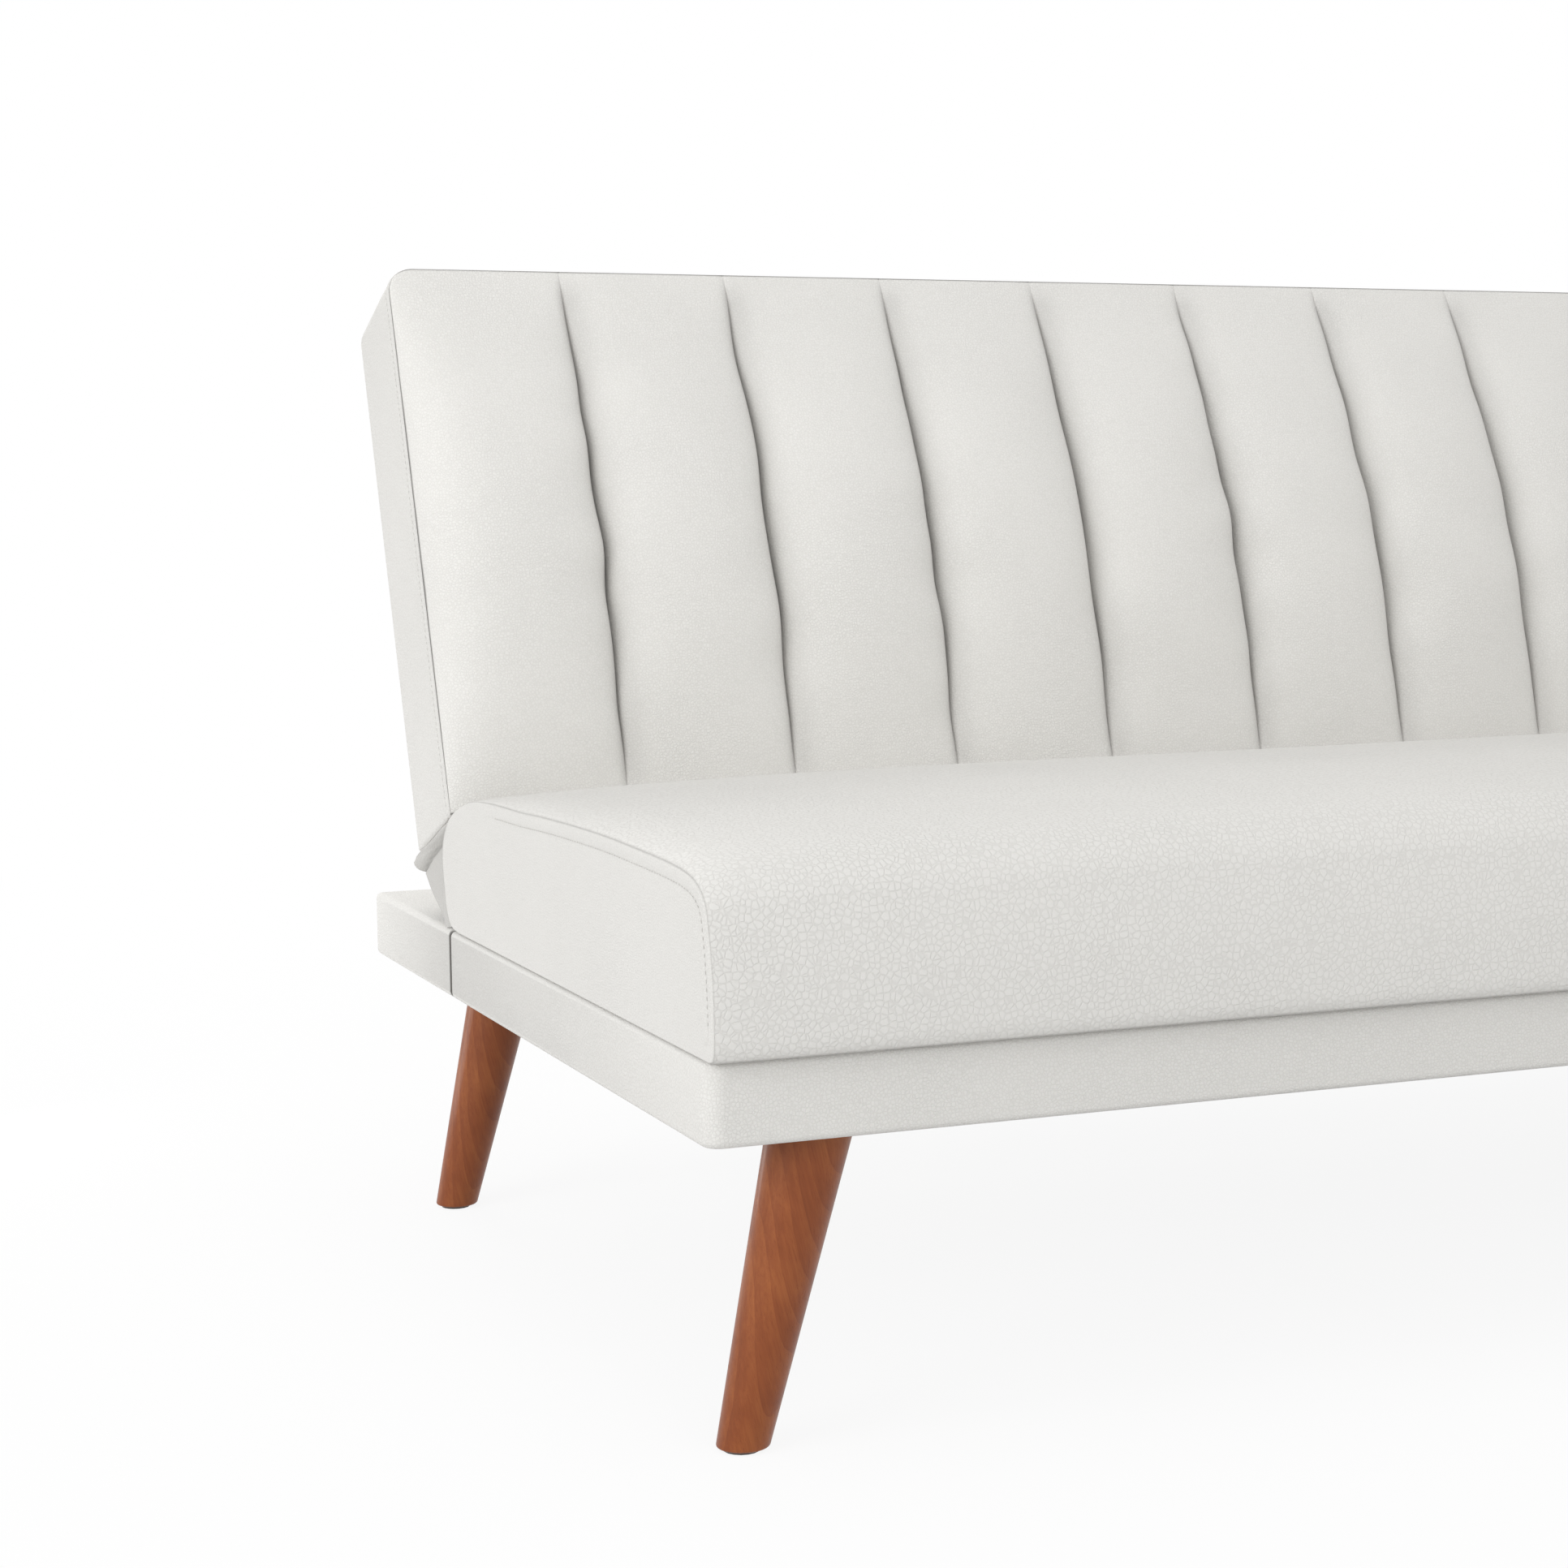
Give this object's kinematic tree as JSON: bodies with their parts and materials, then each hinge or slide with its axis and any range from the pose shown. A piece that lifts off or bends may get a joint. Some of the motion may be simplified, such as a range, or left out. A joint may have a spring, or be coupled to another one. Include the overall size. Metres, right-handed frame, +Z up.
{
  "type": "click clack sofa bed",
  "caption": "Armless sofa bed with a smooth crowned seat, a channelled back on ratchet hinges that reclines to flat, an upholstered base and splayed tapered wooden legs.",
  "frame": {"origin": "on the floor under the middle of the whole sofa, back upright", "axes": "+X across the sofa to its right as seen from the front, +Y from the front to the rear, +Z up"},
  "size_m": [2.07, 0.8922, 0.7999],
  "materials": {
    "cushion_leather": "off-white grained faux leather, soft satin",
    "cover_leather": "off-white grained faux leather, soft satin",
    "leg_wood": "reddish brown stain under clear gloss",
    "frame_timber": "sawn softwood",
    "fibre_board": "smooth hardboard",
    "bright_steel": "zinc plated",
    "black_steel": "black enamel",
    "webbing": "woven elastic webbing",
    "dust_cloth": "thin spun dust cloth",
    "glide_nylon": "moulded nylon"
  },
  "bodies": {
    "base": {"seat_cushion": "cushion_leather", "front_base_cover": "cover_leather", "rear_base_cover": "cover_leather", "gusset_left": "cover_leather", "gusset_right": "cover_leather", "front_base_front_rail": "frame_timber", "front_base_rear_rail": "frame_timber", "front_base_left_rail": "frame_timber", "front_base_right_rail": "frame_timber", "front_base_dust_cover": "dust_cloth", "rear_base_front_rail": "frame_timber", "rear_base_rear_rail": "frame_timber", "rear_base_left_rail": "frame_timber", "rear_base_right_rail": "frame_timber", "rear_base_dust_cover": "dust_cloth", "front_base_cross_rail_left": "frame_timber", "joining_bolt_left": "bright_steel", "joining_washer_left": "bright_steel", "hinge_base_bracket_left": "black_steel", "hinge_pin_left": "bright_steel", "front_base_cross_rail_right": "frame_timber", "joining_bolt_right": "bright_steel", "joining_washer_right": "bright_steel", "hinge_base_bracket_right": "black_steel", "hinge_pin_right": "bright_steel", "rear_base_top_board": "fibre_board", "leg_front_left": "leg_wood", "corner_block_front_left": "frame_timber", "hanger_bolt_front_left": "bright_steel", "foot_glide_front_left": "glide_nylon", "leg_front_right": "leg_wood", "corner_block_front_right": "frame_timber", "hanger_bolt_front_right": "bright_steel", "foot_glide_front_right": "glide_nylon", "leg_rear_left": "leg_wood", "corner_block_rear_left": "frame_timber", "hanger_bolt_rear_left": "bright_steel", "foot_glide_rear_left": "glide_nylon", "leg_rear_right": "leg_wood", "corner_block_rear_right": "frame_timber", "hanger_bolt_rear_right": "bright_steel", "foot_glide_rear_right": "glide_nylon", "seat_springs": "bright_steel"},
    "back": {"back_cushion": "cushion_leather", "back_rear_panel": "cover_leather", "back_webbing": "webbing", "back_bottom_rail": "frame_timber", "back_top_rail": "frame_timber", "back_side_rail_left": "frame_timber", "back_upright_left": "frame_timber", "hinge_back_bracket_left": "black_steel", "pawl_pin_left": "bright_steel", "back_side_rail_right": "frame_timber", "back_upright_right": "frame_timber", "hinge_back_bracket_right": "black_steel", "pawl_pin_right": "bright_steel"},
    "pawl_left_body": {"pawl_left": "bright_steel"},
    "pawl_right_body": {"pawl_right": "bright_steel"}
  },
  "joints": [
    {"name": "back_recline", "type": "hinge", "parent": "base", "child": "back", "pos_m": [0, 0.21443, 0.3317], "axis": [1, 0, 0], "range_deg": [-68.9, 8], "deforming": ["gusset_left", "gusset_right"]},
    {"name": "pawl_drop_left", "type": "hinge", "parent": "back", "child": "pawl_left_body", "pos_m": [-0.9933, 0.2161, 0.37967], "axis": [1, 0, 0], "range_deg": [-9, 0]},
    {"name": "pawl_drop_right", "type": "hinge", "parent": "back", "child": "pawl_right_body", "pos_m": [0.9933, 0.2161, 0.37967], "axis": [1, 0, 0], "range_deg": [-9, 0]}
  ]
}
